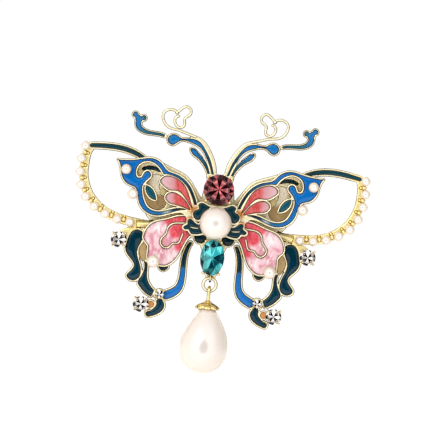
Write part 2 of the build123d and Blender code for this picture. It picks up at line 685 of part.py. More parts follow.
def hinge_bracket():
    """Two round-ended cheeks on a foot, with a hole through both for the rivet."""
    half_gap = KNUCKLE_W / 2 + SIDE_GAP
    body = Pos(HINGE_X, PIN_Y, -FOOT_T / 2) * Box(2.6, 2 * (half_gap + CHEEK_T) + 0.8, FOOT_T)
    for side in (-1, 1):
        middle = PIN_Y + side * (half_gap + CHEEK_T / 2)
        body += Pos(HINGE_X, middle, PIN_Z / 2) * Box(2 * CHEEK_R, CHEEK_T, -PIN_Z)
        body += Pos(HINGE_X, middle, PIN_Z) * Rot(90, 0, 0) * Cylinder(CHEEK_R, CHEEK_T)
    hole = Pos(HINGE_X, PIN_Y, PIN_Z) * Rot(90, 0, 0) * Cylinder(RIVET_R, 10)
    return body - hole


def hinge_rivet():
    reach = KNUCKLE_W / 2 + SIDE_GAP + CHEEK_T
    body = Rot(90, 0, 0) * Cylinder(RIVET_R, 2 * reach)
    for side in (-1, 1):
        body += Pos(0, side * (reach + 0.15), 0) * Rot(90, 0, 0) * Cylinder(RIVET_HEAD_R, 0.3)
    return Pos(HINGE_X, PIN_Y, PIN_Z) * body


def pin_stem():
    """The pin: a knuckle on the rivet and a straight wire ground to a point."""
    tip_x = CATCH_X - PIN_OVERHANG
    straight = HINGE_X - (tip_x + PIN_TAPER)
    knuckle = Rot(90, 0, 0) * Cylinder(KNUCKLE_R, KNUCKLE_W)
    shaft = Rot(0, -90, 0) * Cylinder(PIN_R, straight, align=(Align.CENTER, Align.CENTER, Align.MIN))
    point = Pos(-straight, 0, 0) * Rot(0, -90, 0) * Cone(
        PIN_R, 0.06, PIN_TAPER, align=(Align.CENTER, Align.CENTER, Align.MIN))
    bore = Rot(90, 0, 0) * Cylinder(RIVET_R + RUNNING_GAP, KNUCKLE_W * 2)
    return Pos(HINGE_X, PIN_Y, PIN_Z) * (knuckle + shaft + point - bore)


def catch_body():
    """A slotted tube between two necks; the slot faces away from the brooch."""
    neck_t = 0.6
    length = ROLLER_W + 2 * SIDE_GAP + 2 * neck_t
    foot = Pos(0, 0, -PIN_Z - FOOT_T / 2) * Box(length + 0.4, 3.0, FOOT_T)
    body = Rot(0, 90, 0) * Cylinder(CATCH_TUBE_R, length)
    for side in (-1, 1):
        middle = side * (length - neck_t) / 2
        body += Pos(middle, 0, -PIN_Z / 2) * Box(neck_t, 2 * CATCH_TUBE_R, -PIN_Z)
        body += Pos(middle, 0, 0) * Rot(0, 90, 0) * Cylinder(ROLLER_R, neck_t)
    body += foot
    body -= Rot(0, 90, 0) * Cylinder(CATCH_BORE_R, length + 1)
    body -= Pos(0, 0, -2) * Box(length + 1, CATCH_SLOT, 4)
    return Pos(CATCH_X, PIN_Y, PIN_Z) * body


def safety_roller():
    """A C-shaped ring that turns on the tube to shut its slot, with a thumb tab.

    It is drawn open: its gap faces the same way as the slot. A quarter turn shuts it.
    """
    around = Rot(0, 90, 0)
    reach = 3 * ROLLER_R
    half = radians(ROLLER_GAP / 2)
    wedge = make_face(Polyline((0, 0), (reach * sin(half), -reach * cos(half)),
                               (-reach * sin(half), -reach * cos(half)), close=True))
    tab_length = ROLLER_R + ROLLER_TAB
    tab = Pos(0, tab_length / 2, 0) * Box(ROLLER_W, tab_length, 0.6)
    body = around * Cylinder(ROLLER_R, ROLLER_W) + Rot(-90 - ROLLER_TAB_ANGLE, 0, 0) * tab
    body -= around * Cylinder(CATCH_TUBE_R + RUNNING_GAP, ROLLER_W + 1)
    body -= extrude(Plane.YZ * wedge, ROLLER_W, both=True)
    return Pos(CATCH_X, PIN_Y, PIN_Z) * body


# ---------------------------------------------------------------- all the nodes

def crystal_nodes(name, centre, radius):
    """A clear crystal and its claw cup, standing on the base, on both sides."""
    girdle_z = BASE_T + radius * 0.75 + 0.35
    cup = setting(centre, radius, radius, BASE_T, girdle_z, CORNER_CLAWS, CRYSTAL_CLAW_R)
    crown, pavilion = radius * CRYSTAL_CROWN, radius * CRYSTAL_PAVILION
    stone = cut_stone(centre, radius, radius, girdle_z, crown, pavilion)
    return {f"{name}_cups": both(cup), f"{name}s": both(stone)}


def strand_pearls(side):
    found = Part()
    for spot in strand_points():
        found += seated_pearl((spot.X, spot.Y), STRAND_PEARL_R, BASE_T)
    return leaned(found, side)


def nodes():
    wing_top = WING_Z + WING_T
    antenna_top = ANTENNA_Z + ANTENNA_T
    right_wing, right_antenna, right_heart, right_arm = wing(), antenna(), wire_heart(), cloud_arm()

    def left(shape):
        return mirror(shape, about=Plane.YZ)

    found = {
        "base_frame": base_frame(),
        "base_enamel_green": enamel(green_cells(), BASE_T),
        "base_enamel_blue": enamel(blue_cells(), BASE_T),
        "base_panels_beige": enamel(beige_cells(), BASE_T),
        "loop_bar_enamel": loop_bar_enamel(),
        "wing_right": right_wing,
        "wing_left": left(right_wing),
        **wing_enamels(),
        "wing_posts": posts(),
        "body_collar": collar(),
        "body_collar_enamel": enamel(collar_cells(), COLLAR_Z + COLLAR_T),
        "body_pearl_cup": pearl_cup(),
        "body_pearl": drilled_pearl(),
        "head_setting": setting(HEAD_STONE, HEAD_STONE_R, HEAD_STONE_R, antenna_top, HEAD_GIRDLE_Z,
                                CORNER_CLAWS),
        "head_stone": cut_stone(HEAD_STONE, HEAD_STONE_R, HEAD_STONE_R, HEAD_GIRDLE_Z, *HEAD_CUT),
        "oval_setting": setting(OVAL_STONE, OVAL_STONE_RX, OVAL_STONE_RY, BASE_T, OVAL_GIRDLE_Z,
                                OVAL_CLAWS),
        "oval_stone": cut_stone(OVAL_STONE, OVAL_STONE_RX, OVAL_STONE_RY, OVAL_GIRDLE_Z, *OVAL_CUT),
        **crystal_nodes("outer_crystal", OUTER_CRYSTAL, OUTER_CRYSTAL_R),
        **crystal_nodes("lower_crystal", LOWER_CRYSTAL, LOWER_CRYSTAL_R),
        **crystal_nodes("small_crystal", SMALL_CRYSTAL, SMALL_CRYSTAL_R),
        "wing_tip_pearls": both(seated_pearl(WING_TIP_PEARL, WING_TIP_PEARL_R, wing_top)),
        "wing_edge_pearls": both(seated_pearl(WING_EDGE_PEARL, WING_EDGE_PEARL_R, wing_top)),
        "hindwing_pearls": both(seated_pearl(HINDWING_PEARL, HINDWING_PEARL_R, wing_top)),
        "loop_pearls_right": strand_pearls(1),
        "loop_pearls_left": left(strand_pearls(-1)),
        "antenna_right": right_antenna,
        "antenna_left": left(right_antenna),
        "antenna_enamel": enamel(antenna_cells(), antenna_top),
        "wire_heart_right": right_heart,
        "wire_heart_left": left(right_heart),
        "cloud_arm_right": right_arm,
        "cloud_arm_left": left(right_arm),
        "cloud_enamel": enamel(cloud_cells().faces(), CLOUD_Z + ANTENNA_T),
        "jump_ring": jump_ring(),
        "drop_cap": drop_cap(),
        "drop_pearl": drop_pearl(),
        "pin_hinge_bracket": hinge_bracket(),
        "pin_hinge_rivet": hinge_rivet(),
        "pin_stem": pin_stem(),
        "pin_catch": catch_body(),
        "safety_roller": safety_roller(),
    }
    return found


def upright(shape):
    """Stands the brooch up and puts the middle of the pin at the origin."""
    return Rot(90, 0, 0) * Pos(0, -PIN_Y, -PIN_Z) * shape


os.makedirs("parts", exist_ok=True)
for name, shape in nodes().items():
    solids = upright(shape).solids()
    export_step(solids[0] if len(solids) == 1 else Compound(children=solids), f"parts/{name}.step")
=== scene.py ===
"""Looks for the butterfly brooch: rounded gold rims, domed enamel, cut stones, pearls, light and camera.

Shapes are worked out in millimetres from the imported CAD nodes. The brooch stands upright,
its front faces -Y, and "level" below always means a distance along Y.
"""
import json
import math
import random

import bmesh
import bpy
import numpy as np
from mathutils import Matrix, Vector, geometry, kdtree

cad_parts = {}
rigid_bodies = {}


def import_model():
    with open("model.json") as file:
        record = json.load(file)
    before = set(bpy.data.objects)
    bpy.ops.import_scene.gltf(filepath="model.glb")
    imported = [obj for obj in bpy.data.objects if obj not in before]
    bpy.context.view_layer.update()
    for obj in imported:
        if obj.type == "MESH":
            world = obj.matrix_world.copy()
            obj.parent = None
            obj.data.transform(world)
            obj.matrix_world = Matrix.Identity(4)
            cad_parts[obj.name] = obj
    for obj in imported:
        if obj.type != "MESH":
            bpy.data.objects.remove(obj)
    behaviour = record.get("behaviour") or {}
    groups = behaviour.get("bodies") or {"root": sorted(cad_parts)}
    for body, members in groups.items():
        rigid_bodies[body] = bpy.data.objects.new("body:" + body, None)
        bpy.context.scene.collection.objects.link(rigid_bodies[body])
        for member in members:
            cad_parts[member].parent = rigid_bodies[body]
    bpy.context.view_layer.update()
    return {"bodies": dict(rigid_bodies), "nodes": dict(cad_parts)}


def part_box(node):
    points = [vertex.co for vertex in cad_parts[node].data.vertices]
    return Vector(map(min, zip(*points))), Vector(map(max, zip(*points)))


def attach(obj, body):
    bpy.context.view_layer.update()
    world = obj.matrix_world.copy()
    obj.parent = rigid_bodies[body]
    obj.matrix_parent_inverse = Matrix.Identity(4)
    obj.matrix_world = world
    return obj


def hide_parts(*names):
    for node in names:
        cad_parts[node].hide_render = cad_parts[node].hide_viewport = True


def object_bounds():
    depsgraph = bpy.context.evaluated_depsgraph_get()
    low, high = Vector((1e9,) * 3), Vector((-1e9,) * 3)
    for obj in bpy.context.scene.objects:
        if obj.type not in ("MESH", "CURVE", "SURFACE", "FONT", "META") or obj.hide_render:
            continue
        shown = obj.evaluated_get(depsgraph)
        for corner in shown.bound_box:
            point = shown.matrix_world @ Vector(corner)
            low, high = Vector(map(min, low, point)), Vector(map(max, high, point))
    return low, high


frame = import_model()

MM = 0.001
RIM_ROUND = 0.28         # the gold rims are rounded over like wire, by this radius
FINE_ROUND = 0.12        # on the collar, whose veins are thin, and on edges at the back of a casting
BORDER_STEP = 0.1        # spacing of the points that carry a rounding along an edge
ROUNDING_RINGS = (0.12, 0.35, 0.65, 1.0, 1.7)   # shares of the radius; the last keeps the rest flat
ENAMEL_GAP = 0.1         # the enamel in the CAD ends this far under its rim
ENAMEL_DOME = 0.1        # poured enamel stands higher in the middle of a cell than at its edge
DOME_REACH = 0.4         # and climbs over about this distance
ENAMEL_GRID = 0.3        # spacing of the points in the middle of a cell
ENAMEL_BELOW = 0.02      # the enamel meets its rim this far under the rim's rounding
CREASE = 35              # degrees; a sharper edge than this is shaded as an edge
FACET_SEED = 5


def body_of(node):
    """The body that a CAD node rides on."""
    parent = frame["nodes"][node].parent
    return next(name for name, empty in frame["bodies"].items() if parent == empty)


root_body = body_of("base_frame")
heart_of_body = sum(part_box("body_pearl"), Vector()) / 2


# ------------------------------------------------------------------ meshes from CAD nodes

def welded(node):
    """A CAD node's mesh with shared corners joined: points in millimetres, and triangles."""
    mesh = frame["nodes"][node].data
    points = np.empty(len(mesh.vertices) * 3, np.float32)
    mesh.vertices.foreach_get("co", points)
    mesh.calc_loop_triangles()
    triangles = np.empty(len(mesh.loop_triangles) * 3, np.int32)
    mesh.loop_triangles.foreach_get("vertices", triangles)
    points = np.round(points.reshape(-1, 3).astype(float) / MM, 4)
    points, index = np.unique(points, axis=0, return_inverse=True)
    triangles = index.reshape(-1)[triangles.reshape(-1, 3)]
    a, b, c = triangles.T
    return points, triangles[(a != b) & (b != c) & (a != c)]


def at_level(points, triangles, level):
    """Which triangles lie flat at a level."""
    return (np.abs(points[triangles][:, :, 1] - level) < 1e-3).all(axis=1)


def border_of(triangles):
    """The directed edges around a set of triangles."""
    edges = {edge for a, b, c in triangles.tolist() for edge in ((a, b), (b, c), (c, a))}
    return sorted((a, b) for a, b in edges if (b, a) not in edges)


class Region:
    """A flat region seen from the front, as (x, z) points, bounded by directed edges."""

    def __init__(self, points, border, side):
        self.points = points[:, [0, 2]]
        self.border = border
        self.side = side
        spots = []
        for a, b in border:
            start, end = self.points[a], self.points[b]
            count = max(1, math.ceil(np.linalg.norm(end - start) / (BORDER_STEP / 2)))
            spots += [start + (end - start) * i / count for i in range(count)]
        self.tree = kdtree.KDTree(len(spots))
        for i, (x, z) in enumerate(spots):
            self.tree.insert((x, z, 0), i)
        self.tree.balance()

    def depth(self, x, z):
        """How far a point is from the border."""
        return self.tree.find((x, z, 0))[2]

    def offsets(self, distance):
        """Points a given distance inside the border."""
        taken, kept = set(), []
        for a, b in self.border:
            start, end = self.points[a], self.points[b]
            along = end - start
            length = np.linalg.norm(along)
            inward = np.array([-along[1], along[0]]) / length * self.side
            count = max(1, round(length / BORDER_STEP))
            for i in range(count):
                spot = start + along * (i + 0.5) / count + inward * distance
                cell = (round(spot[0] / BORDER_STEP * 1.4), round(spot[1] / BORDER_STEP * 1.4))
                if cell not in taken and self.depth(*spot) > distance * 0.97:
                    taken.add(cell)
                    kept.append(spot)
        return kept

    def grid(self, step, clearance):
        """Evenly staggered points inside the border's box, clear of the border."""
        used = sorted({i for edge in self.border for i in edge})
        low, high = self.points[used].min(0), self.points[used].max(0)
        kept = []
        for row in range(int((high[1] - low[1]) / step) + 1):
            for column in range(int((high[0] - low[0]) / step) + 1):
                spot = low + step * np.array([column + (row % 2) / 2, row])
                if self.depth(*spot) > clearance:
                    kept.append(spot)
        return kept

    def fill(self, inner):
        """Triangles over the region, through its border points and the inner points."""
        used = sorted({i for edge in self.border for i in edge})
        place = {vertex: i for i, vertex in enumerate(used)}
        spots = [Vector(self.points[i]) for i in used] + [Vector(spot) for spot in inner]
        edges = [(place[a], place[b]) for a, b in self.border]
        found, _, faces, origins, _, _ = geometry.delaunay_2d_cdt(spots, edges, [], 0, 1e-6)
        names = []
        for spot, origin in zip(found, origins):
            known = [i for i in origin if i < len(used)]
            names.append(used[known[0]] if known else tuple(spot))
        turned = []
        for face in faces:
            a, b, c = (found[i] for i in face)
            facing = (b - a).cross(c - a) * self.side
            turned.append([names[i] for i in (face if facing > 0 else face[::-1])])
        return self.inside(turned)

    def inside(self, faces):
        """The triangles that lie inside the border: a flood from the border's inner side."""
        across = {}
        for i, (a, b, c) in enumerate(faces):
            across.update({(a, b): i, (b, c): i, (c, a): i})
        walls = set(self.border)
        front = [across[edge] for edge in self.border if edge in across]
        reached = set(front)
        while front:
            a, b, c = faces[front.pop()]
            for edge in ((a, b), (b, c), (c, a)):
                back = (edge[1], edge[0])
                if edge not in walls and back in across and across[back] not in reached:
                    reached.add(across[back])
                    front.append(across[back])
        return [faces[i] for i in sorted(reached)]


def rounded_over(points, triangles, level, radius, side):
    """Rounds the border of a casting's flat face at a level: side is 1 at the front, -1 at the back."""
    flat = at_level(points, triangles, level)
    border = border_of(triangles[flat])
    region = Region(points, border, side)
    inner = [spot for share in ROUNDING_RINGS for spot in region.offsets(radius * share)]

    def drop(depth):
        reach = max(0.0, radius - depth)
        return (radius - math.sqrt(radius * radius - reach * reach)) * side

    points = points.copy()
    for vertex in {i for edge in border for i in edge}:
        points[vertex, 1] = level + drop(0)
    added, extra, faces = {}, [], []
    for face in region.fill(inner):
        for name in face:
            if isinstance(name, tuple) and name not in added:
                added[name] = len(points) + len(extra)
                extra.append((name[0], level + drop(region.depth(*name)), name[1]))
        faces.append([added.get(name, name) if isinstance(name, tuple) else name for name in face])
    return np.vstack([points, np.array(extra)]), np.vstack([triangles[~flat], np.array(faces)])


def make_piece(name, points, faces, material, body, slot):
    """A closed smooth-shaded piece from points in millimetres, riding on a body."""
    mesh = bpy.data.meshes.new(name)
    mesh.from_pydata([Vector(p) * MM for p in points], [], [list(map(int, f)) for f in faces])
    tidy = bmesh.new()
    tidy.from_mesh(mesh)
    loose = [v for v in tidy.verts if not v.link_faces]
    bmesh.ops.delete(tidy, geom=loose, context="VERTS")
    tidy.to_mesh(mesh)
    tidy.free()
    mesh.polygons.foreach_set("use_smooth", [True] * len(mesh.polygons))
    mesh.set_sharp_from_angle(angle=math.radians(CREASE))
    mesh.materials.append(material)
    piece = bpy.data.objects.new(name, mesh)
    bpy.context.scene.collection.objects.link(piece)
    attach(piece, body)
    return piece


def front_level(node):
    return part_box(node)[0].y / MM


def back_level(node):
    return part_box(node)[1].y / MM


# ------------------------------------------------------------------ materials

SHADE_SIDE = (0.5, 0.0, -0.85)   # the side of the brooch that is away from the light


def linear(red, green, blue):
    """A colour given as 0-255 screen values, as the renderer wants it."""
    shares = [v / 255 for v in (red, green, blue)]
    return (*[s / 12.92 if s < 0.04045 else ((s + 0.055) / 1.055) ** 2.4 for s in shares], 1.0)


class Recipe:
    """A node material. add() makes a node and sets its inputs from values or other sockets."""

    def __init__(self, name, tree=None):
        if tree is None:
            self.material = bpy.data.materials.new(name)
            self.material.use_nodes = True
            tree = self.material.node_tree
            tree.nodes.clear()
        self.tree = tree
        self.place = self.add("TexCoord").outputs["Object"]
        across, along, up = self.add("SeparateXYZ", {0: self.place}).outputs
        self.out = self.math("DIVIDE", self.math("ABSOLUTE", across), MM)
        self.level = self.math("DIVIDE", along, MM)
        self.up = self.math("DIVIDE", up, MM)

    def add(self, kind, inputs=None, **settings):
        node = self.tree.nodes.new("ShaderNode" + kind)
        for key, value in settings.items():
            setattr(node, key, value)
        for key, value in (inputs or {}).items():
            if isinstance(value, bpy.types.NodeSocket):
                self.tree.links.new(value, node.inputs[key])
            else:
                node.inputs[key].default_value = value
        return node

    def math(self, operation, a, b=0.0, clamp=False):
        return self.add("Math", {0: a, 1: b}, operation=operation, use_clamp=clamp).outputs[0]

    def distance(self, centre, stretch=(1, 1, 1), mirrored=True):
        """Millimetres from a point, the same on both sides of the brooch."""
        spot = self.place
        if mirrored:
            spot = self.add("VectorMath", {0: spot}, operation="ABSOLUTE").outputs[0]
            parts = self.add("SeparateXYZ", {0: self.place}).outputs
            sides = self.add("SeparateXYZ", {0: spot}).outputs
            spot = self.add("CombineXYZ", {0: sides[0], 1: parts[1], 2: parts[2]}).outputs[0]
        middle = Vector(centre) * MM
        offset = self.add("VectorMath", {0: spot, 1: middle}, operation="SUBTRACT").outputs[0]
        scaled = self.add("VectorMath", {0: offset, 1: stretch}, operation="MULTIPLY").outputs[0]
        length = self.add("VectorMath", {0: scaled}, operation="LENGTH").outputs["Value"]
        return self.math("DIVIDE", length, MM)

    def step(self, value, low, high):
        """0 below low, 1 above high, smooth between."""
        node = self.add("MapRange", {"Value": value, "From Min": low, "From Max": high},
                        interpolation_type="SMOOTHSTEP")
        return node.outputs["Result"]

    def places(self, spots, fade=0.5):
        """1 inside any of some round patches (x, z, radius in mm) seen from the front, on both sides."""
        covered = 0.0
        for x, z, radius in spots:
            away = self.distance((x, 0, z), (1, 0, 1))
            covered = self.math("MAXIMUM", self.step(away, radius + fade, radius - fade), covered)
        return covered

    def mix(self, share, a, b):
        """Colour a where share is 0, and b where it is 1."""
        node = self.add("Mix", data_type="RGBA")
        for socket, value in ((node.inputs[0], share), (node.inputs[6], a), (node.inputs[7], b)):
            if isinstance(value, bpy.types.NodeSocket):
                self.tree.links.new(value, socket)
            else:
                socket.default_value = value
        return node.outputs[2]

    def noise(self, size, detail=2.0, warp=0.0, stretch=(1, 1, 1)):
        """Noise whose features are about size millimetres across."""
        spot = self.add("VectorMath", {0: self.place, 1: stretch}, operation="MULTIPLY").outputs[0]
        return self.add("TexNoise", {"Vector": spot, "Scale": 1 / (size * MM), "Detail": detail,
                                     "Distortion": warp}).outputs["Fac"]

    def bump(self, height, depth, normal=None):
        """A normal from a height, where 1 stands for depth millimetres."""
        inputs = {"Height": height, "Distance": depth * MM, "Strength": 1.0}
        if normal is not None:
            inputs["Normal"] = normal
        return self.add("Bump", inputs).outputs["Normal"]

    def finish(self, **inputs):
        """The finished material: inputs are the shader's own, with _ for each space."""
        named = {key.replace("_", " "): value for key, value in inputs.items()}
        shader = self.add("BsdfPrincipled", named)
        self.add("OutputMaterial", {"Surface": shader.outputs[0]})
        return self.material

    def range(self, value, low, high):
        """Spreads a value from 0 to 1 over low to high."""
        node = self.add("MapRange", {"Value": value, "To Min": low, "To Max": high})
        return node.outputs["Result"]


def gold(name="gold", tone=(255, 246, 212), outline=0.32, polish=0.36, soft=()):
    """Plated gold: cream where it faces the eye. Painted shade turns it orange in hollows and dark
    brown in the deepest ones, and a painted dark reflection turns it near black where it turns away.
    outline is how far it has to turn, and less on the side away from the light, which is painted
    darker; an orange patch at the wing roots is a painted reflection. In the soft patches it keeps
    a strong yellow all round, with its painted shade and dark edges weakened."""
    r = Recipe(name)
    uneven = r.bump(r.noise(1.6, 1.0), 0.012)
    # recess: how closed in each spot is, which drives the painted shade below
    recess = r.add("AmbientOcclusion", {"Distance": 0.5 * MM}, samples=6).outputs["AO"]
    mottle_and_reflection = r.mix(r.noise(2.5, 3.0), linear(*tone), linear(tone[0] - 6, tone[1] - 12, tone[2] - 26))
    turned = r.add("LayerWeight", {"Blend": 0.5}).outputs["Facing"]
    normal = r.add("NewGeometry").outputs["Normal"]
    ahead = r.math("ABSOLUTE", r.add("SeparateXYZ", {0: normal}).outputs[1])
    turned = r.math("MINIMUM", turned, r.math("SUBTRACT", 1.0, ahead))
    # painted shade: on the side away from the light the surface counts as turned sooner, so it darkens
    # sooner
    shade = r.add("VectorMath", {0: normal, 1: SHADE_SIDE}, operation="DOT_PRODUCT").outputs["Value"]
    turned = r.math("ADD", turned, r.math("MULTIPLY", shade, 0.12))
    # painted reflection: an orange patch on the gold at the wing roots, between the layers
    root = r.places([(4.9, -2.4, 0.9), (5.4, -4.7, 0.7)], 0.6)
    mottle_and_reflection = r.mix(r.math("MULTIPLY", root, r.step(r.level, -4.5, -5.5)), mottle_and_reflection, linear(222, 156, 92))
    # in the soft patches the painted shade and the painted dark edges are weakened
    if soft:
        back = back_level("base_frame")
        near = r.math("MULTIPLY", r.places(soft), r.step(r.level, back - 0.2, back - 0.8))
        recess = r.math("ADD", recess, r.math("MULTIPLY", near, 0.4))
        mottle_and_reflection = r.mix(near, mottle_and_reflection, linear(255, 236, 168))
        turned = r.math("SUBTRACT", turned, r.math("MULTIPLY", near, 0.45))
    # painted dark reflection: near black where the surface turns away from the eye
    sides = r.mix(r.step(turned, outline * 0.5, outline * 1.2), mottle_and_reflection, linear(24, 16, 6))
    # painted shade: orange in hollows, dark brown in the deepest ones
    warm = r.mix(r.step(recess, 0.25, 0.65), linear(220, 168, 90), sides)
    shaded = r.mix(r.step(recess, 0.05, 0.3), linear(60, 36, 12), warm)
    return r.finish(Base_Color=shaded, Specular_Tint=linear(150, 120, 80), Metallic=1.0,
                    Roughness=r.range(r.noise(0.8, 2.0), polish - 0.05, polish + 0.05), Normal=uneven)


def enamel(name, colour, shine=0.05):
    """Glossy poured enamel with a faint ripple, darkened along its rims by painted shade. colour is a
    function of the recipe."""
    r = Recipe(name)
    ripple = r.bump(r.noise(3.0, 1.0), 0.06)
    mottle = r.noise(0.6, 3.0)
    base = colour(r)
    deep = r.add("HueSaturation", {"Color": base, "Value": 0.9}).outputs[0]
    even = r.mix(mottle, deep, base)
    # painted shade: the colour darkens where the rims close in over the enamel
    open_sky = r.add("AmbientOcclusion", {"Distance": 0.5 * MM}, samples=6).outputs["AO"]
    rim_shade = r.add("HueSaturation", {"Color": base, "Value": 0.3}).outputs[0]
    shaded = r.mix(r.step(open_sky, 0.5, 0.9), rim_shade, even)
    return r.finish(Base_Color=shaded, Roughness=0.4, Coat_Weight=1.0, Coat_Roughness=shine,
                    Coat_IOR=1.4, Coat_Normal=ripple, Specular_IOR_Level=0.0)


def wing_blue(r):
    """Dark teal at the root, bright blue at the wing tip, with a painted white highlight on the lower
    band near the body.
    """
    out = r.distance(heart_of_body / MM, (1, 0, 1))
    outer = r.mix(r.step(out, 11.0, 16.0), linear(22, 108, 158), linear(10, 110, 190))
    blue = r.mix(r.step(out, 8.0, 12.0), linear(2, 48, 62), outer)
    # painted highlight: a near-white patch on the lower band
    shine = r.math("MULTIPLY", r.places([(10.3, -3.3, 0.5)], 0.9), 0.75)
    return r.mix(shine, blue, linear(232, 238, 232))


CORAL = [(5.6, -5.4, 2.6), (9.0, -4.7, 1.7), (7.9, -7.2, 1.5), (5.9, -8.4, 1.4), (6.9, -10.2, 1.1)]
# Patches where the pearly streaks turn whiter: painted highlights.
GLINTS = [(11.8, -7.0, 1.3), (8.4, -12.6, 1.0)]


def wing_pink(r):
    """Coral at the roots, along the hindwing's top and inside its swirl; pearly pink outside, with
    whiter streaks in two patches as a painted highlight.
    """
    coral = r.places(CORAL)
    upper = r.step(r.up, -3.9, -3.2)
    petal_root = r.math("MULTIPLY", upper, r.step(r.out, 9.6, 8.4))
    coral = r.math("MAXIMUM", coral, petal_root)
    marble = r.noise(2.4, 3.0, 1.8, (1.0, 1.0, 0.6))
    streak = r.noise(1.3, 3.0, 1.2, (1.7, 1.0, 0.6))
    pearly = r.mix(r.step(marble, 0.38, 0.6), linear(222, 146, 162), linear(244, 204, 210))
    # painted highlight: whiter streaks inside the GLINTS patches
    glint = r.math("MULTIPLY", r.places(GLINTS, 1.2), r.step(streak, 0.3, 0.55))
    white = r.math("MAXIMUM", glint, r.step(streak, 0.56, 0.7))
    pearly = r.mix(r.math("MULTIPLY", white, 0.9), pearly, linear(255, 246, 244))
    pearly = r.mix(r.places([(9.9, -10.0, 0.7)], 0.4), pearly, linear(218, 150, 158))
    tip = r.mix(r.step(r.out, 8.6, 12.0), linear(214, 148, 152), linear(224, 184, 188))
    pale = r.mix(upper, pearly, tip)
    deep = r.mix(r.step(streak, 0.35, 0.7), linear(214, 70, 78), linear(236, 104, 116))
    salmon = r.mix(r.step(streak, 0.35, 0.7), linear(204, 72, 74), linear(222, 106, 104))
    deep = r.mix(upper, deep, salmon)
    return r.mix(coral, pale, deep)


def antenna_blue(r):
    root = r.places([(0.0, 4.0, 6.5)], 1.5)
    return r.mix(root, linear(16, 116, 186), linear(16, 84, 108))


def cloud_blue(r):
    return r.mix(r.step(r.out, 16.6, 17.6), linear(38, 108, 132), linear(40, 120, 184))


def flat_colour(*tone):
    return lambda r: linear(*tone)


def pearl_glaze(name, tone, edge, ring, spot):
    """Pearl: milky, with a painted reflection of the lens as a dim spot inside a painted highlight ring
    where it faces the eye, and painted shade making it warmer and darker at its sides.
    """
    r = Recipe(name)
    ripple = r.bump(r.noise(2.5, 1.0), 0.01)
    cloud = r.mix(r.noise(1.6, 2.0), linear(*tone), linear(tone[0] - 4, tone[1] - 10, tone[2] - 12))
    turned = r.add("LayerWeight", {"Blend": 0.5}).outputs["Facing"]
    # painted highlight: a pale ring where the pearl faces the eye
    pale = r.mix(r.step(turned, 0.03, 0.24), linear(*ring), cloud)
    # painted reflection: the dim spot of the lens in the middle of the ring
    eye = r.mix(r.step(turned, 0.004, 0.026), linear(*spot), pale)
    # painted shade: warmer and darker towards the sides
    body = r.mix(r.step(turned, 0.3, 0.95), eye, linear(*edge))
    return r.finish(Base_Color=body, Roughness=0.45, Coat_Weight=1.0, Coat_Roughness=0.15,
                    Coat_IOR=1.6, Coat_Normal=ripple)


def sanded(name):
    """Matt sanded gold paint with a fine grain: pale in the window's upper corner, orange at
    the tails. It glows a little all over, painted light that lifts it in the shade of the window."""
    r = Recipe(name)
    grain = r.noise(0.3, 4.0)
    rough = r.bump(grain, 0.03)
    patchy = r.mix(r.noise(1.5, 3.0), linear(196, 166, 116), linear(168, 136, 90))
    pale = r.mix(r.places([(11.8, 2.4, 2.4)], 0.6), patchy, linear(252, 242, 222))
    tone = r.mix(r.places([(11.7, -22.7, 1.2)]), pale, linear(206, 138, 74))
    # the emission is painted light: the paint glows a little
    return r.finish(Base_Color=tone, Roughness=0.6, Normal=rough, Emission_Color=tone,
                    Emission_Strength=0.18)


def cut_glass(name, tone):
    r = Recipe(name)
    tint = r.mix(r.noise(0.8, 2.0), linear(*tone), linear(*[min(255, v + 8) for v in tone]))
    return r.finish(Base_Color=tint, Transmission_Weight=1.0, IOR=1.3, Roughness=0.0)


def foil(name, tone):
    """The painted mirror backing of one facet of a glass stone. It glows a little, which is painted
    light, and a dark backing stands in for a painted dark reflection in the facet.
    """
    r = Recipe(name)
    wear = r.range(r.noise(0.6, 2.0), 0.05, 0.15)
    # the emission is painted light: the backing glows in its own tone
    return r.finish(Base_Color=linear(*tone), Metallic=1.0, Roughness=wear, Emission_Color=linear(*tone),
                    Emission_Strength=0.3)


# Round patches along the loops' strands, where the gold is a stronger yellow and its painted shade and
# dark edges are weaker.
STRAND = [(29.1, 7.7, 2.2), (29.5, 5.0, 2.2), (29.4, 2.5, 2.2), (28.8, 0.1, 2.2), (27.8, -2.2, 2.2),
          (25.5, -4.3, 2.2), (23.0, -5.5, 2.2), (20.2, -6.2, 2.2), (17.6, -6.5, 2.2), (15.6, -6.2, 1.6)]
GOLD = gold()
STRAND_GOLD = gold("strand_gold", soft=STRAND)
SOFT_GOLD = gold("soft_gold", (255, 234, 174), 0.65, 0.26)
PIN_METAL = gold("pin_metal", (232, 220, 194), 0.9, 0.3)
# ring is a painted highlight, spot a painted reflection of the lens, edge painted shade at the sides
PEARL = pearl_glaze("pearl_cream", tone=(238, 224, 204), edge=(214, 182, 140),
                    ring=(255, 252, 246), spot=(206, 190, 176))
BIG_PEARL = pearl_glaze("pearl_large", tone=(245, 235, 225), edge=(226, 206, 180),
                        ring=(246, 237, 230), spot=(216, 205, 198))

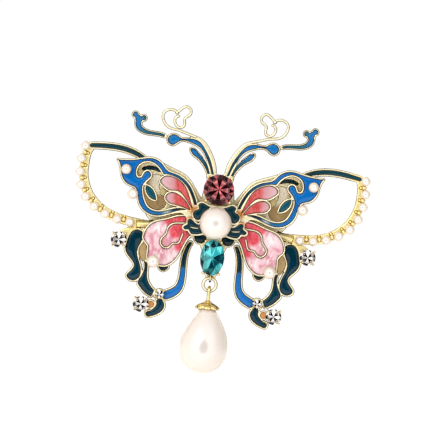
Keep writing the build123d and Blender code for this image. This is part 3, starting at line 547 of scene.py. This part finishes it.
ENAMELS = {
    "wing_enamel_blue": ("enamel_blue", enamel("wing_blue", wing_blue)),
    "wing_enamel_pink": ("enamel_pink", enamel("wing_pink", wing_pink, 0.1)),
    "wing_enamel_leaf": ("enamel_teal", enamel("leaf_teal", flat_colour(0, 82, 98))),
    "base_enamel_green": ("enamel_green", enamel("base_green", flat_colour(0, 54, 72))),
    "base_enamel_blue": ("enamel_blue", enamel("base_blue", flat_colour(24, 116, 196))),
    "loop_bar_enamel": ("enamel_teal", enamel("loop_teal", flat_colour(0, 62, 74))),
    "body_collar_enamel": ("enamel_green", enamel("collar_green", flat_colour(0, 50, 62))),
    "antenna_enamel": ("enamel_blue", enamel("antenna_blue", antenna_blue)),
    "cloud_enamel": ("enamel_blue", enamel("cloud_blue", cloud_blue)),
}
CASTINGS = {
    "base_frame": "base_enamel_green",
    "wing_right": "wing_enamel_blue",
    "wing_left": "wing_enamel_blue",
    "body_collar": "body_collar_enamel",
    "antenna_right": "antenna_enamel",
    "antenna_left": "antenna_enamel",
    "cloud_arm_right": "cloud_enamel",
    "cloud_arm_left": "cloud_enamel",
}


# ------------------------------------------------------------------ enamel and castings

def poured(node, slot, material):
    """Enamel that fills its cells, low at the rims and domed between them."""
    points, triangles = welded(node)
    level = front_level(node)
    floor = back_level(node)
    border = border_of(triangles[at_level(points, triangles, level)])
    region = Region(points, border, 1)
    inner = region.offsets(0.12) + region.offsets(0.3) + region.grid(ENAMEL_GRID, 0.45)
    edge = level + RIM_ROUND - ENAMEL_GAP + ENAMEL_BELOW

    def height(depth):
        return edge - ENAMEL_DOME * (1 - math.exp(-depth / DOME_REACH))

    tops, index = [], {}
    fill = region.fill(inner)
    for name in [name for face in fill for name in face]:
        if name not in index:
            index[name] = len(tops)
            spot = name if isinstance(name, tuple) else region.points[name]
            depth = region.depth(*spot) if isinstance(name, tuple) else 0.0
            tops.append((spot[0], height(depth), spot[1]))
    count = len(tops)
    bottoms = [(x, floor, z) for x, _, z in tops]
    faces = [[index[name] for name in face] for face in fill]
    backs = [[i + count for i in face[::-1]] for face in faces]
    sides = []
    for a, b in border_of(np.array(faces)):
        sides.append([b, a, a + count, b + count])
    piece = make_piece(node + "_pour", tops + bottoms, faces + backs + sides, material, root_body, slot)
    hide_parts(node)


def cast(node, enamel_node):
    """A casting with its rims rounded over at the front and its edges eased at the back."""
    points, triangles = welded(node)
    level = front_level(enamel_node) - ENAMEL_GAP
    front_round = FINE_ROUND if node == "body_collar" else RIM_ROUND
    points, triangles = rounded_over(points, triangles, level, front_round, 1)
    points, triangles = rounded_over(points, triangles, back_level(node), FINE_ROUND, -1)
    metal = STRAND_GOLD if node == "base_frame" else GOLD
    piece = make_piece(node + "_cast", points, triangles, metal, root_body, "gold")
    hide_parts(node)


for node, (slot, material) in ENAMELS.items():
    poured(node, slot, material)
for node, enamel_node in CASTINGS.items():
    cast(node, enamel_node)


# ------------------------------------------------------------------ cut stones

def ring_of(count, radius, level, turn=0.0):
    """Evenly spaced points round a circle at a level, turned by a share of their spacing."""
    angles = [2 * math.pi * (i + turn) / count for i in range(count)]
    return [(radius * math.cos(a), level, radius * math.sin(a)) for a in angles]


def cut_stone(name, node, side, glass, backings, starred=True, facets=8):
    """A brilliant in the place of a CAD stone: hull of its table, crown, girdle and pavilion rings.
    side picks the right (1) or left (-1) stone of a pair. starred gives the facets round the
    point two foils by turns, a light one and a painted dark reflection; the other facets take theirs by
    chance, and these also include painted dark reflections."""
    points, _ = welded(node)
    if side:
        points = points[points[:, 0] * side > 0]
    low, high = points.min(0), points.max(0)
    centre = (low + high) / 2
    rx, rz = (high[0] - low[0]) / 2, (high[2] - low[2]) / 2
    widest = points[np.abs(points[:, 0] - high[0]) < 0.02][:, 1]
    girdle_front, girdle_back = widest.min(), widest.max()
    front, back = low[1], high[1]
    crown, pavilion = girdle_front - front, back - girdle_back
    spots = ring_of(facets, 0.64, front)
    spots += ring_of(facets, 0.84, girdle_front - crown * 0.62, 0.5)
    spots += ring_of(facets * 2, 1.0, girdle_front)
    spots += ring_of(facets * 2, 1.0, girdle_back)
    spots += ring_of(facets, 0.62, girdle_back + pavilion * 0.46, 0.5)
    spots += ring_of(facets, 0.05, back)
    shape = bmesh.new()
    for x, y, z in spots:
        shape.verts.new(((centre[0] + x * rx) * MM, y * MM, (centre[2] + z * rz) * MM))
    bmesh.ops.convex_hull(shape, input=shape.verts)
    bmesh.ops.dissolve_limit(shape, angle_limit=0.002, verts=shape.verts, edges=shape.edges)
    mesh = bpy.data.meshes.new(name)
    shape.to_mesh(mesh)
    shape.free()
    for material in (glass, *backings):
        mesh.materials.append(material)
    chance = random.Random(FACET_SEED)
    for face in mesh.polygons:
        middle = face.center / MM
        if middle.y > girdle_back + 0.02:
            across, up = (middle.x - centre[0]) / rx, (middle.z - centre[2]) / rz
            sector = round(math.atan2(up, across) / (2 * math.pi) * facets)
            if math.hypot(across, up) < 0.5 and starred:
                face.material_index = 1 + sector % 2
            else:
                face.material_index = 1 + chance.randrange(len(backings))
    piece = bpy.data.objects.new(name, mesh)
    bpy.context.scene.collection.objects.link(piece)
    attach(piece, root_body)
    return piece


def set_stones():
    """The head stone, the oval stone and the six crystals, each with its glass and foils."""
    clear = cut_glass("clear_glass", (250, 250, 250))
    # The dark foils are painted dark reflections in the facets; the other foils carry each stone's
    # colour, and all of them glow a little.
    silver = (foil("silver_foil", (244, 240, 236)), foil("dark_reflection_foil", (24, 22, 24)))
    garnet = cut_glass("garnet_glass", (250, 222, 224))
    rose = (foil("rose_foil", (216, 142, 146)), foil("wine_reflection_foil", (40, 8, 14)),
            foil("plum_foil", (104, 40, 48)))
    teal = cut_glass("teal_glass", (184, 236, 238))
    sea = (foil("sea_foil", (84, 186, 188)), foil("surf_foil", (140, 222, 220)),
           foil("deep_reflection_foil", (8, 78, 90)), foil("lagoon_foil", (56, 160, 168)),
           foil("abyss_reflection_foil", (4, 50, 60)))
    head = cut_stone("head_stone_cut", "head_stone", 0, garnet, rose, facets=12)
    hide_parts("head_stone")
    oval = cut_stone("oval_stone_cut", "oval_stone", 0, teal, sea, starred=False)
    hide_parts("oval_stone")
    for node in ("outer_crystals", "lower_crystals", "small_crystals"):
        for side, word in ((1, "right"), (-1, "left")):
            stone = cut_stone(f"{node[:-1]}_{word}", node, side, clear, silver)
            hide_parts(node)


set_stones()


# ------------------------------------------------------------------ pearls

PEARLS = ("body_pearl", "wing_tip_pearls", "wing_edge_pearls", "hindwing_pearls",
          "loop_pearls_right", "loop_pearls_left")


def separate(points, triangles):
    """The points of each separate solid in a node."""
    label = np.arange(len(points))
    while True:
        lowest = label[triangles].min(axis=1)
        spread = label.copy()
        for corner in range(3):
            np.minimum.at(spread, triangles[:, corner], lowest)
        if (spread == label).all():
            return [points[label == name] for name in np.unique(label)]
        label = spread


def lathe(profile, along, centre, count):
    """Points and faces of a closed turned shape. The profile is (radius, distance along) from
    pole to pole."""
    along, centre = Vector(along), Vector(centre)
    across = along.orthogonal().normalized()
    third = along.cross(across)
    points = [centre + along * profile[0][1]]
    for radius, distance in profile[1:-1]:
        for i in range(count):
            angle = 2 * math.pi * i / count
            spoke = across * math.cos(angle) + third * math.sin(angle)
            points.append(centre + along * distance + spoke * radius)
    points.append(centre + along * profile[-1][1])
    last = len(points) - 1
    faces = []
    for i in range(count):
        j = (i + 1) % count
        faces.append((0, 1 + j, 1 + i))
        faces.append((last, last - count + i, last - count + j))
        for ring in range(len(profile) - 3):
            low = 1 + ring * count
            faces.append((low + i, low + j, low + count + j, low + count + i))
    return points, faces


def round_pearl(points, rings, count):
    """A pearl in place of a CAD pearl: a ball with a flat where it sits."""
    low, high = points.min(0), points.max(0)
    radius = (high[0] - low[0]) / 2
    centre = ((low[0] + high[0]) / 2, low[1] + radius, (low[2] + high[2]) / 2)
    seat = min(high[1] - centre[1], radius * 0.9999)   # a full ball still has two poles
    widest = math.acos(-seat / radius)
    turns = [widest * i / rings for i in range(rings + 1)]
    profile = [(radius * math.sin(turn), -radius * math.cos(turn)) for turn in turns] + [(0, seat)]
    return lathe(profile, (0, 1, 0), centre, count)


def string_pearls():
    """Every round pearl, each a piece of its own."""
    for node in PEARLS:
        rings, count = (48, 96) if node == "body_pearl" else (22, 44)
        for i, solid in enumerate(separate(*welded(node)), 1):
            name = "body_pearl_ball" if node == "body_pearl" else f"{node}_{i}"
            glaze = BIG_PEARL if node == "body_pearl" else PEARL
            pearl = make_piece(name, *round_pearl(solid, rings, count), glaze, root_body, "pearl")
            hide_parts(node)


string_pearls()


DROP_SHOULDER = ((0.4, -16.9), (1.4, -17.3), (2.25, -18.4), (3.3, -20.0), (4.3, -22.0), (4.86, -24.0))
DROP_R = 5.0                 # of the drop's round lower end
DROP_END = -30.8
DRAWN_TO_WORLD = -5.0        # from heights on the drawing of the front to heights in the frame


def through(points, steps):
    """A smooth curve through points, the same points included."""
    points = [Vector(p) for p in points]
    before, after = 2 * points[0] - points[1], 2 * points[-1] - points[-2]
    line = [before, *points, after]
    curve = []
    for a, b, c, d in zip(line, line[1:], line[2:], line[3:]):
        for i in range(steps):
            t = i / steps
            curve.append(b + (c - a) * t / 2 + (2 * a - 5 * b + 4 * c - d) * t * t / 2
                         + (3 * b - a - 3 * c + d) * t ** 3 / 2)
    return [tuple(p) for p in curve + [points[-1]]]


def hang_drop():
    """The pear-shaped drop, turned about its upright axis."""
    low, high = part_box("drop_pearl")
    bowl_z = DROP_END + DROP_R
    bowl = [(DROP_R * math.cos(math.radians(a)), bowl_z - DROP_R * math.sin(math.radians(a)))
            for a in range(0, 86, 17)]
    outline = through([*DROP_SHOULDER, *bowl, (0, DROP_END)], 8)
    profile = [(0, DROP_SHOULDER[0][1]), *outline[:-1], (0, DROP_END)]
    profile = [(radius, -height) for radius, height in profile]
    middle = (low + high) / 2 / MM
    points, faces = lathe(profile, (0, 0, -1), (middle.x, middle.y, DRAWN_TO_WORLD), 96)
    body = body_of("drop_pearl")
    pearl = make_piece("drop_pearl_turned", points, faces, BIG_PEARL, body, "pearl")
    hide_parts("drop_pearl")


hang_drop()


# ------------------------------------------------------------------ the rest of the CAD nodes

PIN_PARTS = ("pin_stem", "pin_hinge_rivet")
FITTINGS = ("pin_hinge_bracket", "pin_hinge_rivet", "pin_catch", "safety_roller")
FITTING_EDGE = 0.08      # the bevel on their sharp edges
WELD_WITHIN = 0.0005     # corners nearer than this are one corner
WIRES = ("wire_heart_right", "wire_heart_left", "jump_ring")


def eased(node, width):
    """Joins a CAD node's faces and softens its sharp edges."""
    weld = node.modifiers.new("weld", "WELD")
    weld.merge_threshold = WELD_WITHIN * MM
    if width:
        edges = node.modifiers.new("edges", "BEVEL")
        edges.width = width * MM
        edges.segments = 3
        edges.limit_method = "ANGLE"
        edges.angle_limit = math.radians(50)
        edges.use_clamp_overlap = True


def dress():
    """Materials and soft edges for the CAD nodes that keep their own mesh."""
    beige = sanded("sanded_beige")
    for name, node in frame["nodes"].items():
        if node.hide_render:
            continue
        material = GOLD if name in WIRES else SOFT_GOLD
        if name in PIN_PARTS:
            material = PIN_METAL
        elif name == "base_panels_beige":
            material = beige
        node.data.materials.clear()
        node.data.materials.append(material)
        eased(node, FITTING_EDGE if name in FITTINGS else 0)


dress()


# ------------------------------------------------------------------ floor, light and camera

FLOOR_SIZE = 0.6             # metres from its middle to each side
FLOOR_DROP = 1.5             # below the brooch


def plain_floor():
    low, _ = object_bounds()
    mesh = bpy.data.meshes.new("floor")
    level = low[2] - FLOOR_DROP * MM
    half = FLOOR_SIZE
    corners = [(-half, -half), (half, -half), (half, half), (-half, half)]
    mesh.from_pydata([(x, y, level) for x, y in corners], [], [(0, 1, 2, 3)])
    r = Recipe("floor_white")
    white = r.finish(Base_Color=linear(252, 252, 252), Roughness=0.9, Specular_IOR_Level=0.1,
                     Emission_Color=linear(255, 255, 255), Emission_Strength=0.25)
    mesh.materials.append(white)
    floor = bpy.data.objects.new("floor", mesh)
    bpy.context.scene.collection.objects.link(floor)


KEY = (-0.38, 0.85, 0.36)    # where the brightest patch of the tent is, from the brooch


def white_tent():
    """White to the camera. To the object, a bright tent in front and behind, open and dark at the
    lower right, with a brighter patch at the upper left and a dim lens in the middle of each side."""
    world = bpy.data.worlds.new("tent")
    bpy.context.scene.world = world
    world.use_nodes = True
    world.node_tree.nodes.clear()
    r = Recipe("tent", world.node_tree)
    across, along, up = r.add("SeparateXYZ", {0: r.add("TexCoord").outputs["Generated"]}).outputs
    facing = r.math("ABSOLUTE", along)
    lean = r.math("SUBTRACT", r.math("MULTIPLY", up, 0.5), r.math("MULTIPLY", across, 0.3))
    cloth = r.range(r.step(r.math("ADD", facing, lean), 0.1, 0.5), 0.14, 0.82)
    spot = r.add("CombineXYZ", {0: across, 1: facing, 2: up}).outputs[0]
    patch = Vector(KEY).normalized()
    toward_key = r.add("VectorMath", {0: spot, 1: patch}, operation="DOT_PRODUCT").outputs["Value"]
    key = r.math("MULTIPLY", r.step(toward_key, 0.95, 0.975), 2.4)
    lens = r.range(r.step(facing, 0.992, 0.98), 0.04, 1.0)
    grey = r.math("MULTIPLY", r.math("ADD", cloth, key), lens)
    light = r.add("Background", {"Color": r.add("CombineColor", {0: grey, 1: grey, 2: grey}).outputs[0]})
    white = r.add("Background", {"Color": (1, 1, 1, 1), "Strength": 1.02})
    seen = r.add("LightPath").outputs["Is Camera Ray"]
    choose = r.add("MixShader", {0: seen, 1: light.outputs[0], 2: white.outputs[0]})
    r.add("OutputWorld", {"Surface": choose.outputs[0]})


SOFTBOX_SIZE = 0.3
SOFTBOX_POWER = 0.3


def softbox(name, place):
    """A square lamp that points at the brooch."""
    data = bpy.data.lights.new(name, "AREA")
    data.shape = "SQUARE"
    data.size = SOFTBOX_SIZE
    data.energy = SOFTBOX_POWER
    lamp = bpy.data.objects.new(name, data)
    bpy.context.scene.collection.objects.link(lamp)
    lamp.location = place
    lamp.rotation_euler = (-Vector(place)).to_track_quat("-Z", "Y").to_euler()
    lamp.visible_camera = False


def lights():
    for side in (1, -1):
        softbox(f"front_box_{side}", (0.35 * side, -0.45, 0.35))
        softbox(f"back_box_{side}", (0.35 * side, 0.45, 0.35))


CAMERA_DISTANCE = 0.9
CAMERA_WIDTH = 0.0927        # of the brooch's plane that the picture shows
CAMERA_TILT = math.radians(5.65)
CAMERA_AIM = (0.00172, -0.00475)   # x and z of the point in the middle of the picture


def camera():
    """Straight on, with the brooch turned a little clockwise in the picture."""
    data = bpy.data.cameras.new("camera")
    data.sensor_width = 36
    data.lens = data.sensor_width * CAMERA_DISTANCE / CAMERA_WIDTH
    data.clip_start, data.clip_end = 0.01, 10
    lens = bpy.data.objects.new("camera", data)
    bpy.context.scene.collection.objects.link(lens)
    right = Vector((math.cos(CAMERA_TILT), 0, math.sin(CAMERA_TILT)))
    up = Vector((-math.sin(CAMERA_TILT), 0, math.cos(CAMERA_TILT)))
    back = Vector((0, -1, 0))
    turn = Matrix((right, up, back)).transposed().to_4x4()
    lens.matrix_world = Matrix.Translation((CAMERA_AIM[0], -CAMERA_DISTANCE, CAMERA_AIM[1])) @ turn
    bpy.context.scene.camera = lens


white_tent()
lights()
plain_floor()
camera()
bpy.context.scene.view_settings.view_transform = "Standard"
